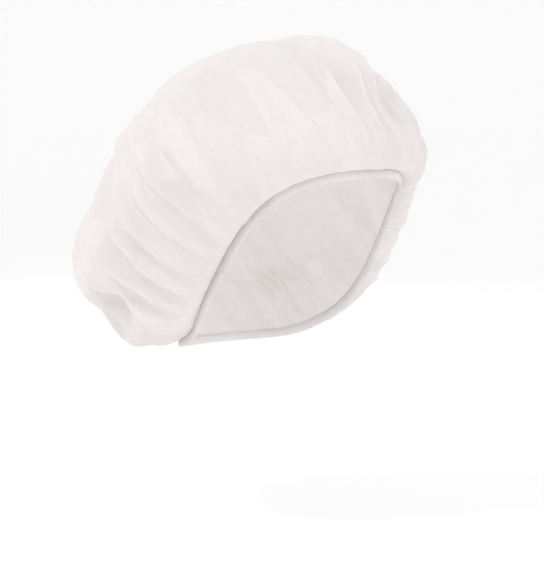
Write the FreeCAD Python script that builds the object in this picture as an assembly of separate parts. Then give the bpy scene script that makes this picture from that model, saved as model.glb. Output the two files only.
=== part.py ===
# Disposable bouffant cap, as worn: +Z up, the wearer's forehead towards -Y, millimetres.
# The origin is the middle of the head opening, half way between the forehead and the nape.
# A round blank of thin non-woven cloth is gathered by a loop of elastic in its turned edge.
# Every piece is worked out from one line, the hem, which runs round the head.
import FreeCAD, Part
import math
import os

os.makedirs("parts", exist_ok=True)
doc = FreeCAD.newDocument("bouffant_cap")

# ---------------------------------------------------------------- driving dimensions
DIMENSIONS = [
    ("opening_half_length", 77.5, "forehead or nape to the middle of the opening, along Y"),
    ("opening_half_width", 73.0, "temple to the middle of the opening, along X"),
    ("hem_rise", 63.0, "how far the hem climbs at the forehead and drops at the nape"),
    ("hem_level", 3.0, "height about which it climbs and drops"),
    ("hem_turn_y", -13.0, "where, front to back, it drops most steeply"),
    ("hem_turn_length", 40.0, "how gradual that drop is"),
    ("neck_tuck", 9.0, "how much narrower the hem is behind the ears"),
    ("neck_tuck_y", 36.0, "where, front to back, it is narrowest"),
    ("neck_tuck_length", 22.0, "how long that narrow stretch is"),
    ("crown_top_y", -8.0, "highest point of the crown, front to back"),
    ("crown_top_z", 153.0, "highest point of the crown"),
    ("cloth_wall", 0.5, "crown wall, which stands for the cloth and its lapped folds"),
    ("shoulder_up", 4.0, "first lift of the crown above its rim, along the head"),
    ("shoulder_out", 5.0, "and away from the head"),
    ("casing_width", 6.4, "turned edge, up the cloth"),
    ("casing_depth", 2.8, "turned edge with the elastic in it, across the cloth"),
    ("casing_wall", 0.4, "gathered layers of the turned edge"),
    ("elastic_width", 4.0, "flat elastic, up the cloth"),
    ("elastic_depth", 0.6, "flat elastic, across the cloth"),
    ("elastic_lap", 0.27, "radians of the loop where the elastic's ends lie on each other"),
    ("thread_width", 0.4, "chain stitch rows, across"),
    ("thread_up", 1.8, "chain stitch above the middle of the casing"),
    ("thread_gap", 0.01, "radians at the nape between the stitch row's start and its end"),
    ("clearance", 0.1, "free space between neighbouring pieces"),
]

sheet = doc.addObject("Spreadsheet::Sheet", "Dimensions")
for row, (alias, value, note) in enumerate(DIMENSIONS, start=1):
    sheet.set(f"A{row}", alias)
    sheet.set(f"B{row}", str(value))
    sheet.set(f"C{row}", note)
    sheet.setAlias(f"B{row}", alias)
doc.recompute()


def size(alias):
    return float(sheet.get(alias))


# ---------------------------------------------------------------- the hem line and the crown's rings
STEPS = 48  # points round the head on each ring
ANGLES = [2 * math.pi * step / STEPS for step in range(STEPS)]

# The crown's rings from the bottom up: Y and Z at the forehead, X, Y and Z at either side, Y and Z at
# the back, and how closely the ring follows the dips of the hem between those places.
CROWN_RINGS = [
    ((-88, 67), (91, 6, -22), (112, -61), 1.0),
    ((-93, 76), (105, 22, -6), (147, -55), 0.8),
    ((-91, 88), (115, 32, 30), (169, -14), 0.5),
    ((-80, 102), (108, 28, 76), (153, 49), 0.2),
    ((-62, 121), (86, 19, 112), (117, 100), 0.0),
    ((-45, 139), (51, 5, 139), (69, 136), 0.0),
    ((-27, 150), (19, -6, 151), (14, 151), 0.0),
]


def hem_point(angle):
    """A point of the hem. The angle runs from the forehead, 0, past the right ear to the nape, pi."""
    y = -size("opening_half_length") * math.cos(angle)
    tuck = math.exp(-(((y - size("neck_tuck_y")) / size("neck_tuck_length")) ** 2))
    half_width = size("opening_half_width") - size("neck_tuck") * tuck
    drop = math.tanh((y - size("hem_turn_y")) / size("hem_turn_length"))
    z = size("hem_level") - size("hem_rise") * drop
    return FreeCAD.Vector(-half_width * math.sin(angle), y, z)


def hem_frame(angle):
    """The hem's point, the direction from it up the head, and the direction away from the head."""
    little = 0.001
    along = (hem_point(angle + little) - hem_point(angle - little)).normalize()
    out = FreeCAD.Vector(-math.sin(angle), -math.cos(angle), 0)
    out = (out - along * out.dot(along)).normalize()
    return hem_point(angle), along.cross(out), out


def round_the_head(front, side, back, angle):
    """A value that is front at the forehead, side at both ears and back at the nape, and smooth between."""
    mean = (front + back + 2 * side) / 4
    tilt = (front - back) / 2
    waist = (front + back - 2 * side) / 4
    return mean + tilt * math.cos(angle) + waist * math.cos(2 * angle)


def crown_point(ring, angle):
    front, side, back, follow = ring
    x = -side[0] * math.sin(angle)
    y = round_the_head(front[0], side[1], back[0], angle)
    z = round_the_head(front[1], side[2], back[1], angle)
    quarters = [hem_point(quarter * math.pi / 2).z for quarter in range(3)]
    dip = hem_point(angle).z - round_the_head(*quarters, angle)
    return FreeCAD.Vector(x, y, z + follow * dip)


def add_piece(name, shape):
    """A named piece of the document."""
    piece = doc.addObject("Part::Feature", name)
    piece.Label = name
    piece.Shape = shape
    piece.Placement = FreeCAD.Placement()


# ---------------------------------------------------------------- crown
def crown_line(angle):
    """The cloth's line from its rim, just above the casing, over the shoulder to the last ring."""
    here, up, out = hem_frame(angle)
    rim = here + up * (size("casing_width") / 2 + size("clearance"))
    shoulder = rim + up * size("shoulder_up") + out * size("shoulder_out")
    return [rim, shoulder] + [crown_point(ring, angle) for ring in CROWN_RINGS]


def moved_in(lines, top, inset):
    """The lines moved into the cap by inset, square to the cloth."""
    moved = []
    for step, line in enumerate(lines):
        before, after = lines[step - 1], lines[(step + 1) % STEPS]
        ends = line + [top]
        points = []
        for ring, point in enumerate(line):
            along = after[ring] - before[ring]
            up = ends[ring + 1] - ends[max(ring - 1, 0)]
            points.append(point - along.cross(up).normalize() * -inset)
        moved.append(points)
    return moved


def dome(lines, top):
    """The smooth skin over the lines, closed at the top, and its open edge."""
    wires = []
    for ring_points in zip(*lines):
        curve = Part.BSplineCurve()
        curve.interpolate(Points=list(ring_points), PeriodicFlag=True)
        wires.append(Part.Wire([curve.toShape()]))
    return Part.makeLoft(wires + [Part.Vertex(top)], False, False, False), wires[0].Edges[0]


def crown():
    lines = [crown_line(angle) for angle in ANGLES]
    top = FreeCAD.Vector(0, size("crown_top_y"), size("crown_top_z"))
    wall = size("cloth_wall")
    outside, outside_edge = dome(lines, top)
    inside, inside_edge = dome(moved_in(lines, top, wall), top - FreeCAD.Vector(0, 0, wall))
    rim = Part.makeRuledSurface(outside_edge, inside_edge)
    skin = Part.makeShell(outside.Faces + inside.Faces + rim.Faces)
    skin.sewShape()
    return Part.Solid(skin.Shells[0])


# ---------------------------------------------------------------- rings that follow the hem
def oval_ring(half_up, half_out):
    """A closed ring along the hem, oval in section."""
    corners = 12
    turns = [2 * math.pi * corner / corners for corner in range(corners)]
    grid = []
    for angle in ANGLES:
        here, up, out = hem_frame(angle)
        section = [up * half_up * math.cos(turn) + out * half_out * math.sin(turn) for turn in turns]
        grid.append([here + offset for offset in section])
    knots_round = [float(knot) for knot in range(STEPS + 1)]
    knots_across = [float(knot) for knot in range(corners + 1)]
    surface = Part.BSplineSurface()
    surface.buildFromPolesMultsKnots(
        grid, [1] * (STEPS + 1), [1] * (corners + 1), knots_round, knots_across, True, True, 3, 3
    )
    return Part.Solid(Part.Shell([surface.toShape()]))


def section_wire(middle, up, out, half_up, half_out):
    """An oblong across the hem."""
    corners = [(-1, -1), (1, -1), (1, 1), (-1, 1), (-1, -1)]
    return Part.makePolygon([middle + up * half_up * a + out * half_out * b for a, b in corners])


def thread_ring(side):
    """A plain loop along the hem that stands for one row of the stitch. side is 1 outside and -1 inside."""
    half = size("thread_width") / 2
    share = size("thread_up") / (size("casing_width") / 2)
    surface = size("casing_depth") / 2 * math.sqrt(1 - share**2)
    turn = 2 * math.pi - size("thread_gap")
    first = math.pi + size("thread_gap") / 2
    sections = []
    for step in range(STEPS + 1):
        here, up, out = hem_frame(first + turn * step / STEPS)
        middle = here + up * size("thread_up") + out * side * (surface + half + size("clearance"))
        sections.append(section_wire(middle, up, out, half, half))
    return Part.makeLoft(sections, True, False, False)


def elastic():
    """A flat loop that laps itself at the nape: it moves out by its own depth over one turn."""
    half_up = size("elastic_width") / 2
    half_out = size("elastic_depth") / 2
    turn = 2 * math.pi + size("elastic_lap")
    first = math.pi - size("elastic_lap") / 2
    offset = size("elastic_depth") + size("clearance")
    spans = STEPS + 2
    sections = []
    for step in range(spans + 1):
        angle = first + turn * step / spans
        here, up, out = hem_frame(angle)
        middle = here + out * offset * ((angle - first) / (2 * math.pi) - 0.5)
        sections.append(section_wire(middle, up, out, half_up, half_out))
    return Part.makeLoft(sections, True, False, False)


def casing():
    """The turned edge: an oval tube round the elastic."""
    half_up = size("casing_width") / 2
    half_out = size("casing_depth") / 2
    wall = size("casing_wall")
    return oval_ring(half_up, half_out).cut(oval_ring(half_up - wall, half_out - wall)).Solids[0]


add_piece("crown_cloth", crown())
add_piece("hem_casing", casing())
add_piece("elastic_band", elastic())
add_piece("hem_needle_thread", thread_ring(1))
add_piece("hem_looper_thread", thread_ring(-1))
doc.recompute()

# ---------------------------------------------------------------- checks, then one file for each piece
pieces = [item for item in doc.Objects if item.TypeId == "Part::Feature"]
for item in doc.Objects:
    if "Invalid" in item.State or "Error" in item.State:
        raise RuntimeError(f"{item.Label} failed: {item.State}")
for piece in pieces:
    if piece.Shape.isNull() or not piece.Shape.isValid() or piece.Shape.Volume <= 0:
        raise RuntimeError(f"{piece.Label} has no valid solid")
for piece in pieces:
    piece.Shape.exportStep(f"parts/{piece.Label}.step")
    print(f"{piece.Label}: {len(piece.Shape.Solids)} solid, {piece.Shape.Volume / 1000:.2f} cm3")
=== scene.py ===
# Disposable bouffant cap: the looks. Metres, +Z up as worn, the wearer's forehead towards -Y.
import math
import random

import bmesh
import bpy
import numpy as np
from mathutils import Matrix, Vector, noise
from mathutils.bvhtree import BVHTree


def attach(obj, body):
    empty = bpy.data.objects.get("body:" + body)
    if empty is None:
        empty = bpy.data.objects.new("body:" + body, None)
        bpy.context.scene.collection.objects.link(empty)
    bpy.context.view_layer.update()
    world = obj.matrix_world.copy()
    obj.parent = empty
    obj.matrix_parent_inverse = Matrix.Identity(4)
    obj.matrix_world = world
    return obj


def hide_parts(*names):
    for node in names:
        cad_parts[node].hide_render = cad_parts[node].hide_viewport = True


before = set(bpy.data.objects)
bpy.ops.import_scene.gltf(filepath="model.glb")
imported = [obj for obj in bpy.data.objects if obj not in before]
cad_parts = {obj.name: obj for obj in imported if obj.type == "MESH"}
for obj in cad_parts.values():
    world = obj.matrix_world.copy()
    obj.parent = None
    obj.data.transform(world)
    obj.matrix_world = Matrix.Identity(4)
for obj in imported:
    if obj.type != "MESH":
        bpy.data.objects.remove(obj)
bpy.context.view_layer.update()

MM = 0.001

# ---------------------------------------------------------------- camera
CAMERA_AZIMUTH = math.radians(-45)
CAMERA_ELEVATION = math.radians(5)
CAMERA_DISTANCE = 1.5
VIEW_WIDTH = 0.370  # what the view spans at the cap
AIM_RIGHT = -0.011  # the view's middle, from the middle of the head opening
AIM_UP = -0.0202


def make_camera():
    az, el = CAMERA_AZIMUTH, CAMERA_ELEVATION
    towards = Vector((math.sin(az) * math.cos(el), -math.cos(az) * math.cos(el), math.sin(el)))
    right = Vector((math.cos(az), math.sin(az), 0))
    aim = right * AIM_RIGHT + towards.cross(right) * AIM_UP
    data = bpy.data.cameras.new("camera")
    data.sensor_fit = "HORIZONTAL"
    data.lens = data.sensor_width * CAMERA_DISTANCE / VIEW_WIDTH
    camera = bpy.data.objects.new("camera", data)
    camera.location = aim + towards * CAMERA_DISTANCE
    camera.rotation_euler = towards.to_track_quat("Z", "Y").to_euler()
    bpy.context.scene.collection.objects.link(camera)
    bpy.context.scene.camera = camera


make_camera()

# ---------------------------------------------------------------- the hem line, as in the CAD model
OPENING_HALF_LENGTH = 77.5 * MM
OPENING_HALF_WIDTH = 73.0 * MM
HEM_RISE = 63.0 * MM
HEM_LEVEL = 3.0 * MM
HEM_TURN_Y = -13.0 * MM
HEM_TURN_LENGTH = 40.0 * MM
NECK_TUCK = 9.0 * MM
NECK_TUCK_Y = 36.0 * MM
NECK_TUCK_LENGTH = 22.0 * MM
CASING_WIDTH = 6.4 * MM
CASING_DEPTH = 2.8 * MM


def hem_point(angle):
    """A point of the hem. The angle runs from the forehead, 0, past the right ear to the nape, pi."""
    y = -OPENING_HALF_LENGTH * math.cos(angle)
    tuck = math.exp(-(((y - NECK_TUCK_Y) / NECK_TUCK_LENGTH) ** 2))
    half_width = OPENING_HALF_WIDTH - NECK_TUCK * tuck
    z = HEM_LEVEL - HEM_RISE * math.tanh((y - HEM_TURN_Y) / HEM_TURN_LENGTH)
    return Vector((-half_width * math.sin(angle), y, z))


def hem_frame(angle):
    """The hem's point, the direction from it up the head, and the direction away from the head."""
    little = 0.001
    along = (hem_point(angle + little) - hem_point(angle - little)).normalized()
    out = Vector((-math.sin(angle), -math.cos(angle), 0))
    out = (out - along * out.dot(along)).normalized()
    return hem_point(angle), along.cross(out), out


def hem_angles(count):
    """Angles whose hem points are evenly spaced along the hem."""
    fine = 1440
    points = [hem_point(2 * math.pi * i / fine) for i in range(fine + 1)]
    run = [0.0]
    for a, b in zip(points, points[1:]):
        run.append(run[-1] + (b - a).length)
    angles, at = [], 0
    for k in range(count):
        want = run[-1] * k / count
        while run[at + 1] < want:
            at += 1
        share = (want - run[at]) / (run[at + 1] - run[at])
        angles.append(2 * math.pi * (at + share) / fine)
    return angles


def mesh_object(name, points, faces, smooth=True):
    mesh = bpy.data.meshes.new(name)
    mesh.from_pydata(points, [], faces)
    mesh.polygons.foreach_set("use_smooth", [smooth] * len(mesh.polygons))
    mesh.update()
    piece = bpy.data.objects.new(name, mesh)
    bpy.context.scene.collection.objects.link(piece)
    return piece


# ---------------------------------------------------------------- crown: a round blank, gathered and puffed
BLANK_DIAMETER = 0.533
TURNED_EDGE = 0.015  # of the blank's radius, which is turned over and stitched into the casing
CROWN_DIAMETER = BLANK_DIAMETER - 2 * TURNED_EDGE
RINGS = 84  # from the middle of the blank to its edge, with 6 more points on each ring
GATHERS = 84  # folds at the hem
CROWN_MIDDLE = Vector((0, 0.100, 0.112))  # where the blank's middle lies on the crown
INSIDE = Vector((0, 0.020, 0.040))  # a point in the cap that sees all of it
HEAD_MIDDLE = Vector((0, 0.0175, 0.045))  # of the plain form that holds the cloth up while it settles
HEAD_SIZE = Vector((0.072, 0.092, 0.091))  # its half width, half depth and half height
SETTLE_FRAMES = 30
FOLD_BANDS = [
    # folds round the cap, from and to this share of the blank's radius, depth
    (GATHERS, 0.80, 1.0, 4.5 * MM),
    (GATHERS // 2, 0.55, 0.88, 5.0 * MM),
    (GATHERS // 4, 0.25, 0.68, 4.0 * MM),
]


def ramp(value, low, high):
    share = min(max((value - low) / (high - low), 0), 1)
    return share * share * (3 - 2 * share)


def blank_spots():
    """The flat blank: a middle point, then rings of 6, 12, 18 and so on, as (radius share, turn)."""
    spots = [(0.0, 0.0)]
    for ring in range(1, RINGS + 1):
        spots += [(ring / RINGS, i / (6 * ring)) for i in range(6 * ring)]
    return spots


def blank_index(ring, i):
    return 0 if ring == 0 else 1 + 3 * ring * (ring - 1) + i % (6 * ring)


def blank_faces():
    """Triangles between each ring and the next, sector by sector."""
    faces = []
    for ring in range(1, RINGS + 1):
        for sector in range(6):
            for i in range(ring):
                outer = sector * ring + i
                inner = sector * (ring - 1) + i
                here = blank_index(ring - 1, inner)
                ahead = blank_index(ring, outer + 1)
                faces.append((here, blank_index(ring, outer), ahead))
                if i < ring - 1:
                    faces.append((here, ahead, blank_index(ring - 1, inner + 1)))
    return faces


def along_line(line, shares):
    """Points at the given shares of the line's length."""
    line = np.array(line)
    run = np.concatenate([[0], np.cumsum(np.linalg.norm(np.diff(line, axis=0), axis=1))])
    return np.stack([np.interp(np.array(shares) * run[-1], run, line[:, k]) for k in range(3)], axis=1)


def dome_table(count, samples=60):
    """Lines over the CAD crown from the blank's middle to its edge: a point for each line and each ring."""
    crown = bpy.data.objects["crown_cloth"].data
    tree = BVHTree.FromPolygons([v.co for v in crown.vertices], [p.vertices for p in crown.polygons])
    shares = [ring / RINGS for ring in range(RINGS + 1)]
    start = (CROWN_MIDDLE - INSIDE).normalized()
    table = []
    for angle in hem_angles(count):
        here, up, out = hem_frame(angle)
        rim = here + up * CASING_WIDTH / 2
        end = (rim + out * 4 * MM + up * 4 * MM - INSIDE).normalized()
        rays = [start.slerp(end, k / (samples - 1)) for k in range(samples)]
        hits = [tree.ray_cast(INSIDE, ray)[0] for ray in rays]
        table.append(along_line([hit for hit in hits if hit is not None] + [rim], shares))
    return np.array(table)


def gather_wave(share, turn):
    """How far the cloth stands off the dome at the start: fine gathers at the hem, wide folds above."""
    wander = 0.7 * math.sin(2 * math.pi * 3 * turn + 0.7) + 0.5 * math.sin(2 * math.pi * 7 * turn + 2.1)
    swell = 1 + 0.35 * math.sin(2 * math.pi * 11 * turn + 1.3) + 0.2 * math.sin(2 * math.pi * 5 * turn)
    height = 0.0
    for folds, low, high, depth in FOLD_BANDS:
        weight = ramp(share, low, low + 0.12) * (1 - ramp(share, high, high + 0.12))
        height += depth * weight * swell * math.cos(2 * math.pi * folds * turn + wander)
    return height * (1 - 0.75 * ramp(share, 0.965, 1.0))


def crown_start():
    """The gathered start of the crown: every point of the blank on the dome, moved off it by the gathers."""
    count = 6 * RINGS
    table = dome_table(count)
    points = []
    for share, turn in blank_spots():
        ring = round(share * RINGS)
        place = turn * count
        low = int(place) % count
        high = (low + 1) % count
        point = Vector(table[low][ring]).lerp(Vector(table[high][ring]), place - int(place))
        if 0 < ring < RINGS:
            along = Vector(table[(low + 3) % count][ring] - table[low - 3][ring])
            down = Vector(table[low][ring + 1] - table[low][ring - 1])
            normal = along.cross(down).normalized()
            if normal.dot(point - INSIDE) < 0:
                normal = -normal
            point = point + normal * gather_wave(share, turn)
        points.append(point)
    return points


def head_form():
    """A smooth head shape that holds the crown up while it settles. It is removed afterwards."""
    bm = bmesh.new()
    bmesh.ops.create_icosphere(bm, subdivisions=5, radius=1.0)
    for v in bm.verts:
        v.co = HEAD_MIDDLE + Vector((v.co.x * HEAD_SIZE.x, v.co.y * HEAD_SIZE.y, v.co.z * HEAD_SIZE.z))
    mesh = bpy.data.meshes.new("head_form")
    bm.to_mesh(mesh)
    bm.free()
    form = bpy.data.objects.new("head_form", mesh)
    bpy.context.scene.collection.objects.link(form)
    form.modifiers.new("collision", "COLLISION")
    form.collision.thickness_outer = 1 * MM
    form.collision.cloth_friction = 5
    return form


def settle(crown):
    """Lets the cloth find its own folds, at the lengths it has in the flat blank."""
    scene = bpy.context.scene
    crown.shape_key_add(name="start")
    flat = crown.shape_key_add(name="flat")
    for spot, (share, turn) in zip(flat.data, blank_spots()):
        radius = share * CROWN_DIAMETER / 2
        spot.co = (radius * math.cos(2 * math.pi * turn), radius * math.sin(2 * math.pi * turn), 0)
    flat.value = 0
    pins = crown.vertex_groups.new(name="pins")
    pins.add([blank_index(RINGS, i) for i in range(6 * RINGS)], 1.0, "REPLACE")
    cloth = crown.modifiers.new("cloth", "CLOTH")
    s = cloth.settings
    s.quality = 6
    s.mass = 0.001
    s.air_damping = 2.0
    s.tension_stiffness = 80
    s.compression_stiffness = 80
    s.shear_stiffness = 30
    s.bending_stiffness = 0.02
    s.tension_damping = 10
    s.compression_damping = 10
    s.shear_damping = 10
    s.bending_damping = 0.5
    s.vertex_group_mass = "pins"
    s.pin_stiffness = 10
    s.use_pressure = True
    s.uniform_pressure_force = 0.6
    s.effector_weights.gravity = 0.01
    s.rest_shape_key = flat
    cloth.collision_settings.use_collision = True
    cloth.collision_settings.distance_min = 1 * MM
    cloth.point_cache.frame_start = 1
    cloth.point_cache.frame_end = SETTLE_FRAMES
    form = head_form()
    for moment in range(1, SETTLE_FRAMES + 1):
        scene.frame_set(moment)
    evaluated = crown.evaluated_get(bpy.context.evaluated_depsgraph_get())
    settled = np.empty(3 * len(crown.data.vertices))
    evaluated.data.vertices.foreach_get("co", settled)
    bpy.data.objects.remove(form)
    crown.modifiers.clear()
    crown.shape_key_clear()
    crown.vertex_groups.clear()
    scene.frame_set(1)
    return settled.reshape(-1, 3)


def neighbour_mean(points, ends):
    """The mean of each point's neighbours. ends holds the two points of each edge."""
    total = np.zeros_like(points)
    count = np.zeros(len(points))
    for a, b in ((0, 1), (1, 0)):
        np.add.at(total, ends[:, a], points[ends[:, b]])
        np.add.at(count, ends[:, a], 1)
    return total / count[:, None]


def eased(points, ends, rounds, hold):
    """The points after some rounds of smoothing. hold is how firmly each point keeps its place, 0 to 1."""
    for _ in range(rounds):
        points = points + (neighbour_mean(points, ends) - points) * 0.6 * (1 - hold)[:, None]
    return points


FOLD_KEPT = 0.58  # share of the settled folds' depth that is kept, because the cloth lies in flat pleats
OVERHANG_DOWN = 7.0 * MM  # how far the puffed cloth hangs over the turned edge
OVERHANG_OUT = 2.0 * MM
PATCH_CONTRAST = 1.1  # how far the kept depth differs from place to place
BASE_ROUNDS = 70  # rounds of smoothing that leave the dome without its folds
CREASE_DEPTH = 5.5 * MM
PANEL_SIZE = 62  # flat panels between the sharp ridges, in millimetres of the blank
SMALL_PANEL_SIZE = 25
CALM_START = 0.74  # share of the blank's radius at which the gathers grow shallower, and where they are calm
CALM_END = 0.92
CALM_ROUNDS = 24
CALM_SHARE = 0.68
VALLEY_HALF_LENGTH = 42  # how far each slack place runs round the cap, either way, in millimetres
SLACK = [  # where the cloth falls in or stands out: place, push, how wide, all in millimetres
    ((-90, 94, -43), (14, -13, 14), 19),
    ((-86, 86, 54), (5, -5, -4), 32),
    ((60, -60, 113), (-7, 7, -5), 30),
    ((-71, 72, 106), (2, -2, -2), 14),
    ((66, -66, 82), (-1, 1, 1), 9),
    ((84, 100, -36), (-9, -9, 10), 17),
    ((10, 140, 84), (1, -6, -4), 22),
]


def edge_ends(mesh):
    ends = np.empty(2 * len(mesh.edges), dtype=int)
    mesh.edges.foreach_get("vertices", ends)
    return ends.reshape(-1, 2)


def overhang(share, turn_angle):
    """The puffed cloth hangs a little over the turned edge before it tucks in to it."""
    here, up, out = hem_frame(turn_angle)
    amount = ramp(share, 0.86, 0.955) * (1 - ramp(share, 0.965, 1.0))
    return (out * OVERHANG_OUT - up * OVERHANG_DOWN) * amount


def blank_noise(share, turn, around, along, seed):
    """Smooth noise on the blank, -1 to 1, with about so many swings round it and from middle to edge."""
    spot = Vector((math.cos(2 * math.pi * turn), math.sin(2 * math.pi * turn), 0)) * around / (2 * math.pi)
    return noise.noise(spot + Vector((seed, seed * 0.37, share * along)))


def crease(share, turn):
    """Sharp ridges between flat panels all over, and finer ones that fan out from the hem and fork."""
    radius = share * CROWN_DIAMETER / 2 / MM
    spot = Vector((math.cos(2 * math.pi * turn), math.sin(2 * math.pi * turn), 0)) * radius
    panel = abs(noise.noise(spot / PANEL_SIZE + Vector((7, 1, 0))))
    small = abs(noise.noise(spot / SMALL_PANEL_SIZE + Vector((2, 9, 4))))
    broad = abs(blank_noise(share, turn, 34, 2.2, 11))
    narrow = abs(blank_noise(share, turn, 80, 4.0, 23))
    fanned_out = max(0, 0.25 - broad) * 1.3 + max(0, 0.18 - narrow) * 0.7
    between_panels = max(0, 0.42 - panel) * 1.5 + max(0, 0.22 - small) * 0.6
    return between_panels + fanned_out * ramp(share, 0.3, 0.7) - 0.5


def calmed_rings(points):
    """The cloth near the hem, with its gathers made shallower round the head."""
    for ring in range(round(CALM_START * RINGS), RINGS):
        start = blank_index(ring, 0)
        own = points[start : start + 6 * ring]
        calm = own
        for _ in range(CALM_ROUNDS):
            calm = (np.roll(calm, 1, axis=0) + 2 * calm + np.roll(calm, -1, axis=0)) / 4
        amount = CALM_SHARE * ramp(ring / RINGS, CALM_START, CALM_END)
        points[start : start + 6 * ring] = own + (calm - own) * amount
    return points


def slack(point):
    """How far the cloth at a point has fallen in or stood out from a taut dome."""
    moved = Vector((0, 0, 0))
    for place, push, width in SLACK:
        middle = Vector(place) * MM
        run = Vector((0, 0, 1)).cross(Vector(push)).normalized()
        away = point - middle
        along = away.dot(run)
        off = away - run * min(max(along, -VALLEY_HALF_LENGTH * MM), VALLEY_HALF_LENGTH * MM)
        moved += Vector(push) * MM * math.exp(-((off.length / (width * MM)) ** 2))
    return moved


def make_crown():
    crown = mesh_object("crown", crown_start(), blank_faces())
    settled = settle(crown)
    spots = blank_spots()
    angles = hem_angles(6 * RINGS)
    shares = np.array([share for share, turn in spots])
    ends = edge_ends(crown.data)
    rim = (shares > 0.999).astype(float)
    close = np.array([1 - ramp(share, 0.90, 0.995) for share in shares])
    calm = eased(settled, ends, 5, np.maximum(rim, close))
    base = eased(calm, ends, BASE_ROUNDS, rim)
    patchy = [0.5 + 0.5 * math.tanh(4.0 * blank_noise(share, turn, 11, 3.0, 5)) for share, turn in spots]
    gathered = np.array([ramp(share, 0.12, 0.5) for share in shares])
    kept = FOLD_KEPT * (0.35 + PATCH_CONTRAST * np.array(patchy)) * gathered
    points = base + (calm - base) * kept[:, None]
    crown.data.vertices.foreach_set("co", points.ravel())
    crown.data.update()
    normals = [v.normal.copy() for v in crown.data.vertices]
    for vertex, (share, turn), normal in zip(crown.data.vertices, spots, normals):
        fade = 1 - ramp(share, 0.90, 0.97)
        vertex.co += slack(vertex.co) * fade
        vertex.co += normal * crease(share, turn) * CREASE_DEPTH * fade
        vertex.co += overhang(share, angles[round(turn * 6 * RINGS) % (6 * RINGS)])
    hung = np.array([v.co for v in crown.data.vertices])
    loose = np.array([ramp(share, 0.85, 0.93) for share in shares]) * (1 - rim)
    hung = calmed_rings(eased(hung, ends, 8, 1 - loose))
    crown.data.vertices.foreach_set("co", hung.ravel())
    crown.data.update()
    lay_blank_map(crown, [(s * math.cos(2 * math.pi * t), s * math.sin(2 * math.pi * t)) for s, t in spots])
    subdivide = crown.modifiers.new("subdivide", "SUBSURF")
    subdivide.levels = 1
    subdivide.render_levels = 1
    crown.data.materials.append(cloth_material("spunbond_crown", CROWN_COLOUR, CROWN_SEE_THROUGH))
    return crown


def lay_blank_map(piece, places):
    """A map of the flat blank on the piece, in which 1 is the blank's radius."""
    layer = piece.data.uv_layers.new(name="blank")
    corners = np.empty(len(piece.data.loops), dtype=int)
    piece.data.loops.foreach_get("vertex_index", corners)
    layer.data.foreach_set("uv", np.array(places)[corners].ravel())


# ---------------------------------------------------------------- turned edge, stitches and elastic
FINE_ANGLES = [2 * math.pi * i / 720 for i in range(721)]  # close enough to measure the hem's length
TUCKS = 220  # small gathers of the turned edge
TUCK_STEPS = 6
SECTION_STEPS = 12
STITCH_PITCH = 3.4 * MM
STITCH_LENGTH = 2.5 * MM
THREAD_RADIUS = 0.2 * MM
THREAD_UP = 1.8 * MM


def closed_band(name, rounds, section):
    """A closed tube along the hem. section gives its points, up and out, at each step round the head."""
    points, faces = [], []
    for step, angle in enumerate(hem_angles(rounds)):
        here, up, out = hem_frame(angle)
        points += [here + up * a + out * b for a, b in section(step)]
    across = len(points) // rounds
    for step in range(rounds):
        for k in range(across):
            here, ahead = step * across, (step + 1) % rounds * across
            faces.append((here + k, here + (k + 1) % across, ahead + (k + 1) % across, ahead + k))
    return mesh_object(name, points, faces)


def casing_section(step):
    """The turned edge's outline: flat against the head, puckered outside, pinched where it is stitched."""
    rng = random.Random(1000 + step // TUCK_STEPS)
    height = rng.uniform(0.7, 1.25)
    tuck = math.cos(2 * math.pi * step / TUCK_STEPS)
    outline = []
    for k in range(SECTION_STEPS):
        turn = 2 * math.pi * k / SECTION_STEPS
        up = CASING_WIDTH / 2 * math.cos(turn)
        out = CASING_DEPTH / 2 * math.sin(turn)
        pucker = 0.28 * MM * height * tuck * (1 if out > 0 else 0.5)
        pinch = math.exp(-(((up - THREAD_UP) / (0.7 * MM)) ** 2))
        lean = 0.25 * MM * height * math.sin(2 * math.pi * step / TUCK_STEPS)
        outline.append((up + lean * (1 - pinch), out * (1 - 0.35 * pinch) + math.copysign(pucker, out)))
    return outline


def make_casing():
    casing = closed_band("gathered_hem", TUCKS * TUCK_STEPS, casing_section)
    casing.data.materials.append(cloth_material("spunbond_hem", HEM_COLOUR, HEM_SEE_THROUGH))
    rounds = TUCKS * TUCK_STEPS
    places = []
    for step in range(rounds):
        turn = 2 * math.pi * step / rounds
        for k in range(SECTION_STEPS):
            radius = 1 + k * 0.004
            places.append((radius * math.cos(turn), radius * math.sin(turn)))
    lay_blank_map(casing, places)
    return casing


def tube_along(points, radius, sides=6):
    """A closed round tube through the points, with tapered ends: its points and its faces."""
    verts, faces = [], []
    for k, point in enumerate(points):
        ahead = points[min(k + 1, len(points) - 1)] - points[max(k - 1, 0)]
        side = ahead.orthogonal().normalized()
        other = ahead.normalized().cross(side)
        r = radius * (0.45 if k in (0, len(points) - 1) else 1.0)
        for i in range(sides):
            turn = 2 * math.pi * i / sides
            verts.append(point + side * r * math.cos(turn) + other * r * math.sin(turn))
    for k in range(len(points) - 1):
        for i in range(sides):
            a, b = k * sides + i, k * sides + (i + 1) % sides
            faces.append((a, b, b + sides, a + sides))
    faces.append(tuple(range(sides - 1, -1, -1)))
    faces.append(tuple(range((len(points) - 1) * sides, len(points) * sides)))
    return verts, faces


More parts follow.
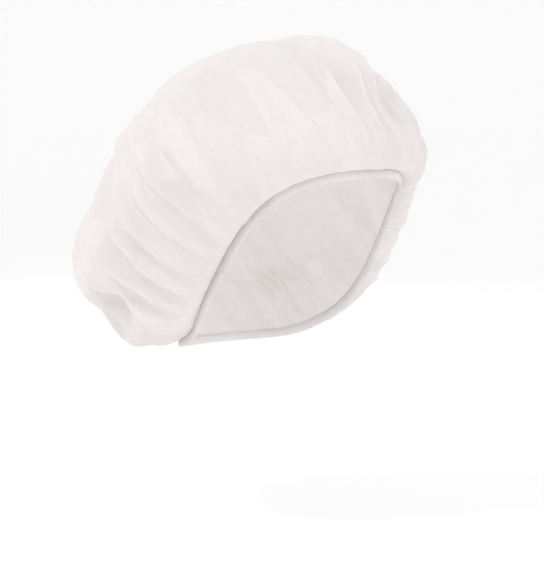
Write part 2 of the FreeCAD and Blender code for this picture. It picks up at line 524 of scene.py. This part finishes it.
def stitch_row(name, side, shape):
    """One thread of the chain stitch, as a row of separate stitches. side is 1 outside and -1 inside."""
    hem_length = sum((hem_point(b) - hem_point(a)).length for a, b in zip(FINE_ANGLES, FINE_ANGLES[1:]))
    count = round(hem_length / STITCH_PITCH)
    points, faces = [], []
    surface = CASING_DEPTH / 2 * 0.78 * 0.72
    for stitch, angle in enumerate(hem_angles(count)):
        here, up, out = hem_frame(angle)
        along = up.cross(out)
        rng = random.Random(5000 + stitch)
        tilt = rng.uniform(-0.12, 0.12)
        for path in shape(tilt):
            line = [here + along * a + up * (THREAD_UP + b) + out * side * (surface + c) for a, b, c in path]
            verts, sides = tube_along(line, THREAD_RADIUS)
            faces += [tuple(i + len(points) for i in face) for face in sides]
            points += verts
    thread = mesh_object(name, points, faces)
    return thread


def needle_stitch(tilt):
    """A short straight stitch that dips into the cloth at both ends."""
    half = STITCH_LENGTH / 2
    shares = (-1, -0.7, -0.3, 0.3, 0.7, 1)
    return [[(half * t, tilt * half * t, 0.22 * MM - 0.3 * MM * t * t) for t in shares]]


def looper_stitch(tilt):
    """A chain link: two strands that spread and close again."""
    half = STITCH_PITCH * 0.55
    strands = []
    for hand in (-1, 1):
        spread = [(-1, 0.1), (-0.6, 0.8), (0, 1.0), (0.6, 0.7), (1, 0.1)]
        strand = [(half * t, (hand * 0.38 * w + tilt * t) * MM, 0.2 * MM * (1 + 0.5 * w)) for t, w in spread]
        strands.append(strand)
    return strands


# ---------------------------------------------------------------- materials
CROWN_COLOUR = (0.890, 0.862, 0.852)
HEM_COLOUR = (0.875, 0.845, 0.835)
CROWN_SEE_THROUGH = 0.38  # share of the light that passes through the cloth
HEM_SEE_THROUGH = 0.15  # less, because the turned edge lies in layers


def node_of(tree, kind, place, **inputs):
    node = tree.nodes.new(kind)
    node.location = place
    for name, value in inputs.items():
        node.inputs[name.replace("_", " ")].default_value = value
    return node


def maths(tree, operation, place, *values):
    node = tree.nodes.new("ShaderNodeMath")
    node.operation = operation
    node.location = place
    for socket, value in zip(node.inputs, values):
        if isinstance(value, (int, float)):
            socket.default_value = value
        else:
            tree.links.new(value, socket)
    return node.outputs[0]


def spunbond_group():
    """Non-woven cloth, from places on the flat blank in mm: a tint, a roughness and a height."""
    group = bpy.data.node_groups.get("spunbond")
    if group:
        return group
    group = bpy.data.node_groups.new("spunbond", "ShaderNodeTree")
    group.interface.new_socket("Blank mm", in_out="INPUT", socket_type="NodeSocketVector")
    for name in ("Tint", "Roughness", "Height"):
        group.interface.new_socket(name, in_out="OUTPUT", socket_type="NodeSocketFloat")
    places = group.nodes.new("NodeGroupInput").outputs[0]
    results = group.nodes.new("NodeGroupOutput")
    cloud = node_of(group, "ShaderNodeTexNoise", (-600, 300), Scale=0.11, Detail=3.0, Roughness=0.6)
    fibre = node_of(group, "ShaderNodeTexNoise", (-600, 0), Scale=0.9, Detail=5.0, Roughness=0.75)
    fibre.inputs["Distortion"].default_value = 2.5
    bond = node_of(group, "ShaderNodeTexVoronoi", (-600, -300), Scale=0.5, Randomness=0.12)
    for texture in (cloud, fibre, bond):
        group.links.new(places, texture.inputs["Vector"])
    dot = group.nodes.new("ShaderNodeMapRange")
    dot.location = (-380, -300)
    dot.interpolation_type = "SMOOTHSTEP"
    for name, value in (("From Min", 0.16), ("From Max", 0.34), ("To Min", 1.0), ("To Max", 0.0)):
        dot.inputs[name].default_value = value
    group.links.new(bond.outputs["Distance"], dot.inputs["Value"])
    dots = dot.outputs["Result"]
    clouds = maths(group, "SUBTRACT", (-480, 300), cloud.outputs[0], 0.5)
    clouds = maths(group, "MULTIPLY", (-380, 300), clouds, 0.06)
    grain = maths(group, "SUBTRACT", (-480, 60), fibre.outputs[0], 0.5)
    grain = maths(group, "MULTIPLY", (-380, 60), grain, 0.07)
    tint = maths(group, "ADD", (-200, 240), maths(group, "ADD", (-280, 240), clouds, grain), 1.0)
    tint = maths(group, "SUBTRACT", (-100, 240), tint, maths(group, "MULTIPLY", (-200, 120), dots, 0.025))
    rough = maths(group, "SUBTRACT", (-100, 0), 0.86, maths(group, "MULTIPLY", (-200, 0), dots, 0.22))
    pits = maths(group, "MULTIPLY", (-200, -300), dots, 0.6)
    height = maths(group, "SUBTRACT", (-100, -200), fibre.outputs[0], pits)
    for name, value in (("Tint", tint), ("Roughness", rough), ("Height", height)):
        group.links.new(value, results.inputs[name])
    return group


def fanned(tree, blank, swings, length):
    """Places that run round the blank, so many units a radian, and out from its middle, length mm a unit."""
    round_it = tree.nodes.new("ShaderNodeVectorMath")
    round_it.operation = "NORMALIZE"
    tree.links.new(blank, round_it.inputs[0])
    spread = tree.nodes.new("ShaderNodeVectorMath")
    spread.operation = "SCALE"
    spread.inputs["Scale"].default_value = swings
    tree.links.new(round_it.outputs[0], spread.inputs[0])
    radius = tree.nodes.new("ShaderNodeVectorMath")
    radius.operation = "LENGTH"
    tree.links.new(blank, radius.inputs[0])
    outward = tree.nodes.new("ShaderNodeCombineXYZ")
    units = maths(tree, "DIVIDE", (-900, -600), radius.outputs["Value"], length)
    tree.links.new(units, outward.inputs[2])
    place = tree.nodes.new("ShaderNodeVectorMath")
    tree.links.new(spread.outputs[0], place.inputs[0])
    tree.links.new(outward.outputs[0], place.inputs[1])
    return place.outputs[0], radius.outputs["Value"]


def crease_height(tree, blank):
    """Fine pleat lines that run from the blank's edge towards its middle and fade out half way."""
    place, radius = fanned(tree, blank, 26.0, 45.0)
    lines = node_of(tree, "ShaderNodeTexNoise", (-600, -500), Scale=1.0, Detail=4.0, Roughness=0.62)
    lines.inputs["Distortion"].default_value = 0.6
    tree.links.new(place, lines.inputs["Vector"])
    ridge = maths(tree, "SUBTRACT", (-500, -500), lines.outputs[0], 0.5)
    ridge = maths(tree, "ABSOLUTE", (-450, -500), ridge)
    return maths(tree, "MULTIPLY", (-300, -500), ridge, away_from_middle(tree, radius))


def away_from_middle(tree, radius):
    """0 in the smooth middle of the blank, 1 where the gathers begin."""
    fade = tree.nodes.new("ShaderNodeMapRange")
    fade.interpolation_type = "SMOOTHSTEP"
    for name, value in (("From Min", 55.0), ("From Max", 150.0)):
        fade.inputs[name].default_value = value
    tree.links.new(radius, fade.inputs["Value"])
    return fade.outputs["Result"]


def lapped_layers(tree, blank):
    """Where folds lap each other the cloth is two or three layers thick, and a little denser in tone."""
    place, radius = fanned(tree, blank, 5.2, 75.0)
    panels = node_of(tree, "ShaderNodeTexVoronoi", (-600, -800), Scale=1.0, Randomness=1.0)
    tree.links.new(place, panels.inputs["Vector"])
    pick = tree.nodes.new("ShaderNodeSeparateXYZ")
    tree.links.new(panels.outputs["Color"], pick.inputs[0])
    denser = maths(tree, "SUBTRACT", (-450, -800), pick.outputs[0], 0.5)
    denser = maths(tree, "MULTIPLY", (-400, -800), denser, 0.06)
    denser = maths(tree, "MULTIPLY", (-350, -800), denser, away_from_middle(tree, radius))
    return maths(tree, "ADD", (-300, -800), denser, 0.998)


def cloth_material(name, colour, translucent):
    """Thin white spunbond cloth with bonded points and fine pleats. translucent is the see-through share."""
    material = bpy.data.materials.new(name)
    material.use_nodes = True
    tree = material.node_tree
    shader = tree.nodes["Principled BSDF"]
    blank_map = tree.nodes.new("ShaderNodeUVMap")
    blank_map.uv_map = "blank"
    blank = tree.nodes.new("ShaderNodeVectorMath")
    blank.operation = "SCALE"
    blank.inputs["Scale"].default_value = CROWN_DIAMETER / 2 / MM
    tree.links.new(blank_map.outputs[0], blank.inputs[0])
    cloth = tree.nodes.new("ShaderNodeGroup")
    cloth.node_tree = spunbond_group()
    tree.links.new(blank.outputs[0], cloth.inputs[0])
    tinted = tree.nodes.new("ShaderNodeVectorMath")
    tinted.operation = "SCALE"
    tinted.inputs[0].default_value = colour
    layers = lapped_layers(tree, blank.outputs[0])
    tint = maths(tree, "MULTIPLY", (-400, 200), cloth.outputs["Tint"], layers)
    tree.links.new(tint, tinted.inputs["Scale"])
    tree.links.new(tinted.outputs[0], shader.inputs["Base Color"])
    tree.links.new(cloth.outputs["Roughness"], shader.inputs["Roughness"])
    fine = node_of(tree, "ShaderNodeBump", (-200, -200), Strength=0.35, Distance=0.12 * MM)
    tree.links.new(cloth.outputs["Height"], fine.inputs["Height"])
    pleats = node_of(tree, "ShaderNodeBump", (-200, -400), Strength=0.7, Distance=1.1 * MM)
    tree.links.new(crease_height(tree, blank.outputs[0]), pleats.inputs["Height"])
    tree.links.new(pleats.outputs[0], fine.inputs["Normal"])
    tree.links.new(fine.outputs[0], shader.inputs["Normal"])
    shader.inputs["Specular IOR Level"].default_value = 0.3
    shader.inputs["Sheen Weight"].default_value = 0.12
    shader.inputs["Sheen Roughness"].default_value = 0.5
    glow = tree.nodes.new("ShaderNodeBsdfTranslucent")
    tree.links.new(tinted.outputs[0], glow.inputs["Color"])
    tree.links.new(fine.outputs[0], glow.inputs["Normal"])
    mix = tree.nodes.new("ShaderNodeMixShader")
    mix.inputs[0].default_value = translucent
    tree.links.new(shader.outputs[0], mix.inputs[1])
    tree.links.new(glow.outputs[0], mix.inputs[2])
    tree.links.new(mix.outputs[0], tree.nodes["Material Output"].inputs["Surface"])
    return material


def ribbed_material(name, colour, roughness, ribs_per_mm, depth):
    """A finely ribbed finish, for twisted thread and flat elastic."""
    material = bpy.data.materials.new(name)
    material.use_nodes = True
    tree = material.node_tree
    shader = tree.nodes["Principled BSDF"]
    place = tree.nodes.new("ShaderNodeTexCoord")
    ribs = node_of(tree, "ShaderNodeTexWave", (-600, 0), Distortion=0.8, Detail=2.0)
    ribs.inputs["Scale"].default_value = ribs_per_mm / MM / 20
    ribs.bands_direction = "DIAGONAL"
    tree.links.new(place.outputs["Object"], ribs.inputs["Vector"])
    ramp_node = tree.nodes.new("ShaderNodeMapRange")
    for socket, value in (("To Min", roughness - 0.08), ("To Max", roughness + 0.08)):
        ramp_node.inputs[socket].default_value = value
    tree.links.new(ribs.outputs["Fac"], ramp_node.inputs["Value"])
    tree.links.new(ramp_node.outputs["Result"], shader.inputs["Roughness"])
    shade = tree.nodes.new("ShaderNodeMix")
    shade.data_type = "RGBA"
    shade.inputs["A"].default_value = (*[c * 0.93 for c in colour], 1)
    shade.inputs["B"].default_value = (*colour, 1)
    tree.links.new(ribs.outputs["Fac"], shade.inputs["Factor"])
    tree.links.new(shade.outputs["Result"], shader.inputs["Base Color"])
    bump = node_of(tree, "ShaderNodeBump", (-300, -200), Strength=0.6, Distance=depth)
    tree.links.new(ribs.outputs["Fac"], bump.inputs["Height"])
    tree.links.new(bump.outputs[0], shader.inputs["Normal"])
    return material


# ---------------------------------------------------------------- the pieces, each on the cap's one body
crown = make_crown()
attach(crown, "root")
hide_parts("crown_cloth")

hem = make_casing()
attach(hem, "root")
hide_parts("hem_casing")

thread_finish = ribbed_material("spun_thread", (0.90, 0.88, 0.87), 0.55, 4.0, 0.05 * MM)
for name, node, side, shape in (
    ("needle_thread", "hem_needle_thread", 1, needle_stitch),
    ("looper_thread", "hem_looper_thread", -1, looper_stitch),
):
    thread = stitch_row(name, side, shape)
    thread.data.materials.append(thread_finish)
    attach(thread, "root")
    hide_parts(node)

elastic = bpy.data.objects["elastic_band"]
elastic.data.materials.clear()
elastic_finish = ribbed_material("latex_free_elastic", (0.80, 0.78, 0.74), 0.7, 1.2, 0.15 * MM)
elastic.data.materials.append(elastic_finish)

# ---------------------------------------------------------------- floor and light
FLOOR_LEVEL = -0.186  # where the foot of a display head would stand


def make_floor():
    """A pale floor that curves up into a round backdrop."""
    flat, bend, top, around = 2.4, 1.0, 3.2, 64  # metres, and the number of points round it
    profile = [(flat * k / 6, 0.0) for k in range(7)]
    for k in range(1, 13):
        rise = math.pi / 2 * k / 12
        profile.append((flat + bend * math.sin(rise), bend * (1 - math.cos(rise))))
    profile += [(flat + bend, top)]
    points = [(0, 0, FLOOR_LEVEL)]
    faces = []
    for radius, height in profile[1:]:
        for k in range(around):
            turn = 2 * math.pi * k / around
            points.append((radius * math.cos(turn), radius * math.sin(turn), FLOOR_LEVEL + height))
    for k in range(around):
        faces.append((0, 1 + k, 1 + (k + 1) % around))
        for ring in range(len(profile) - 2):
            a = 1 + ring * around
            b = a + around
            faces.append((a + k, b + k, b + (k + 1) % around, a + (k + 1) % around))
    floor = mesh_object("floor", points, faces)
    material = bpy.data.materials.new("pale_floor")
    material.use_nodes = True
    shader = material.node_tree.nodes["Principled BSDF"]
    shader.inputs["Base Color"].default_value = (0.94, 0.94, 0.94, 1)
    shader.inputs["Roughness"].default_value = 0.9
    shader.inputs["Emission Color"].default_value = (1, 1, 1, 1)
    shader.inputs["Emission Strength"].default_value = 0.08
    floor.data.materials.append(material)


def area_light(name, place, aim, size, power):
    data = bpy.data.lights.new(name, "AREA")
    data.shape = "DISK"
    data.size = size
    data.energy = power
    light = bpy.data.objects.new(name, data)
    light.location = place
    light.rotation_euler = (Vector(place) - Vector(aim)).to_track_quat("Z", "Y").to_euler()
    bpy.context.scene.collection.objects.link(light)


def make_light():
    aim = (0, 0.03, 0.04)
    area_light("key", (-1.30, 0.15, 1.45), aim, 0.6, 8)
    area_light("fill", (0.6, -1.7, 0.5), aim, 1.4, 4.5)
    area_light("back", (0.5, 1.5, 1.2), aim, 1.2, 4)
    world = bpy.data.worlds.new("studio")
    bpy.context.scene.world = world
    world.use_nodes = True
    background = world.node_tree.nodes["Background"]
    background.inputs["Color"].default_value = (1, 1, 1, 1)
    background.inputs["Strength"].default_value = 0.85
    bpy.context.scene.view_settings.view_transform = "Standard"


make_floor()
make_light()

bpy.context.view_layer.update()
